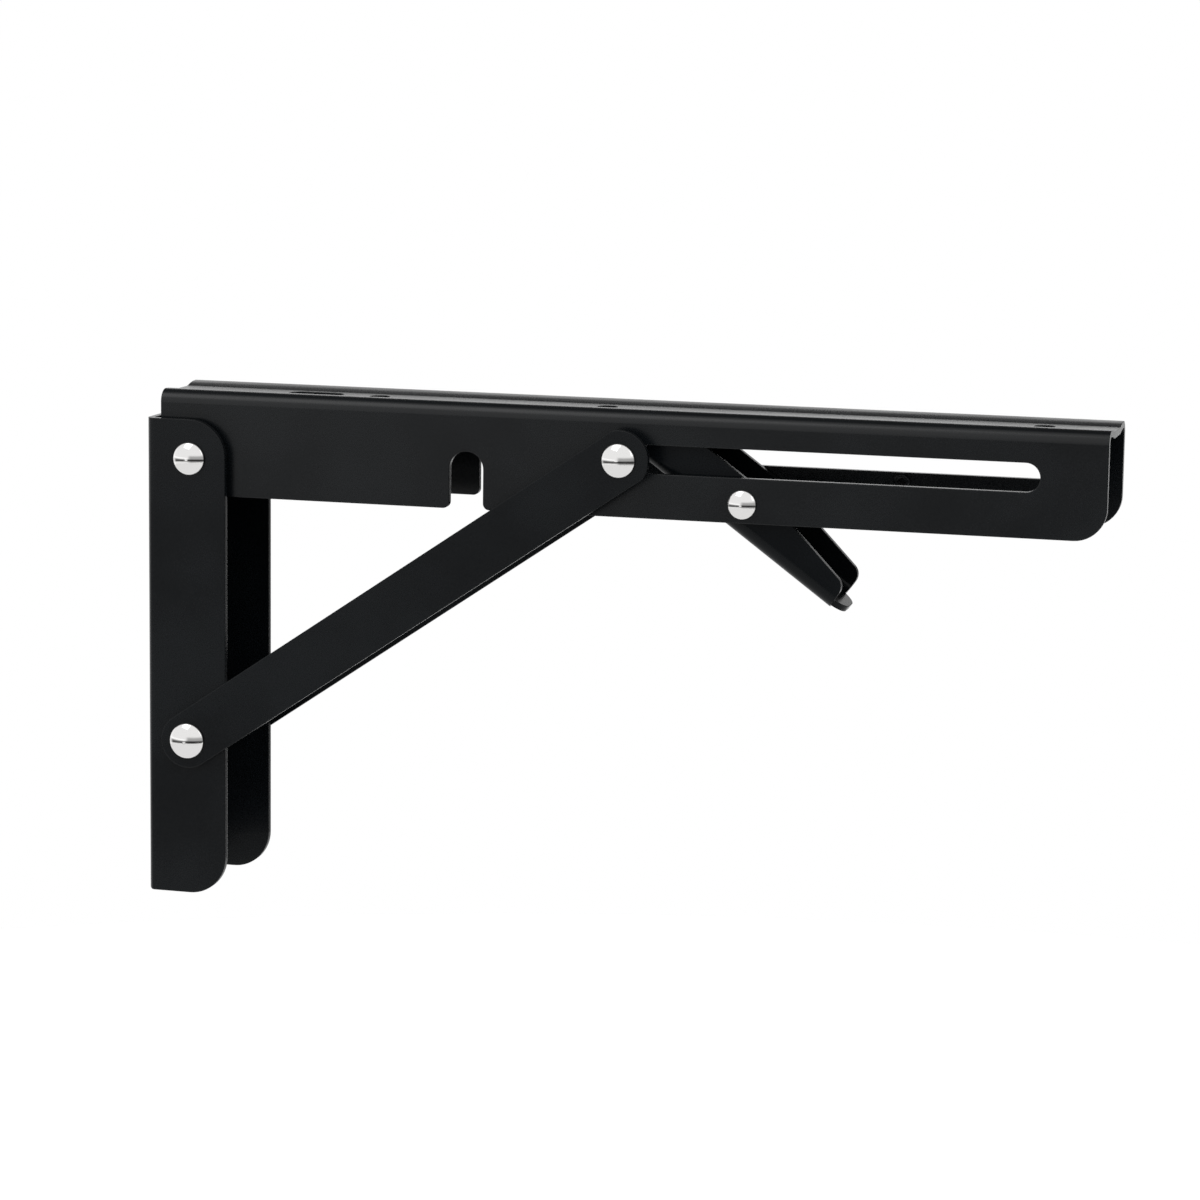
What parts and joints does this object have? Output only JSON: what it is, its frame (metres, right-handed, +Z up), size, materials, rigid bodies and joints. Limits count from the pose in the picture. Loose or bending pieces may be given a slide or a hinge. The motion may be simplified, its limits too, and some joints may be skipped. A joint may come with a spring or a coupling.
{
  "type": "folding shelf bracket",
  "caption": "Folding shelf bracket: a channel wall arm and a channel shelf arm hinged together, held square by sliding struts and a sprung release lever.",
  "frame": {"origin": "middle wall screw hole, on the face of the wall", "axes": "+X out of the wall along the open shelf arm, +Y across the bracket to the rear flange, +Z up"},
  "size_m": [0.3035, 0.0528, 0.1611],
  "materials": {
    "black_powder_coat": "satin",
    "rivet_chrome": "polished",
    "plated_steel": "satin",
    "black_nylon": "matte"
  },
  "bodies": {
    "wall_arm": {"wall_arm": "black_powder_coat", "hinge_rivet": "rivet_chrome", "front_hinge_washer": "black_nylon", "rear_hinge_washer": "black_nylon", "strut_spacer": "plated_steel", "front_strut_washer": "plated_steel", "rear_strut_washer": "plated_steel"},
    "shelf_arm": {"shelf_arm": "black_powder_coat", "hinge_spacer": "plated_steel", "lever_rivet": "rivet_chrome", "front_lever_washer": "plated_steel", "rear_lever_washer": "plated_steel", "rear_flange_eyelet": "black_powder_coat", "lever_spring": "plated_steel"},
    "struts": {"front_strut": "black_powder_coat", "rear_strut": "black_powder_coat", "strut_rivet": "rivet_chrome", "front_slide_rivet": "rivet_chrome", "rear_slide_rivet": "rivet_chrome"},
    "slider": {"front_slide_pin": "plated_steel", "rear_slide_pin": "plated_steel", "front_slide_bush": "black_nylon", "rear_slide_bush": "black_nylon"},
    "release_lever": {"release_lever": "black_powder_coat"}
  },
  "joints": [
    {"name": "fold", "type": "hinge", "parent": "wall_arm", "child": "shelf_arm", "pos_m": [0.0145, 0, 0.075], "axis": [0, 1, 0], "range_deg": [0, 90]},
    {"name": "strut_swing", "type": "hinge", "parent": "wall_arm", "child": "struts", "pos_m": [0.0145, 0, -0.015], "axis": [0, 1, 0], "range_deg": [0, 122.5]},
    {"name": "slider_travel", "type": "slide", "parent": "shelf_arm", "child": "slider", "axis": [1, 0, 0], "range_m": [0, 0.12]},
    {"name": "lever_press", "type": "hinge", "parent": "shelf_arm", "child": "release_lever", "pos_m": [0.1924, 0, 0.0688], "axis": [0, -1, 0], "range_deg": [0, 36], "stiffness_Nm_per_rad": 0.15, "springref_deg": -40.11, "deforming": ["lever_spring"]}
  ],
  "couplings": [
    {"joint": "strut_swing", "follows": "fold", "ratio": 1.359},
    {"joint": "slider_travel", "follows": "fold", "m_per_rad": 0.076215}
  ]
}
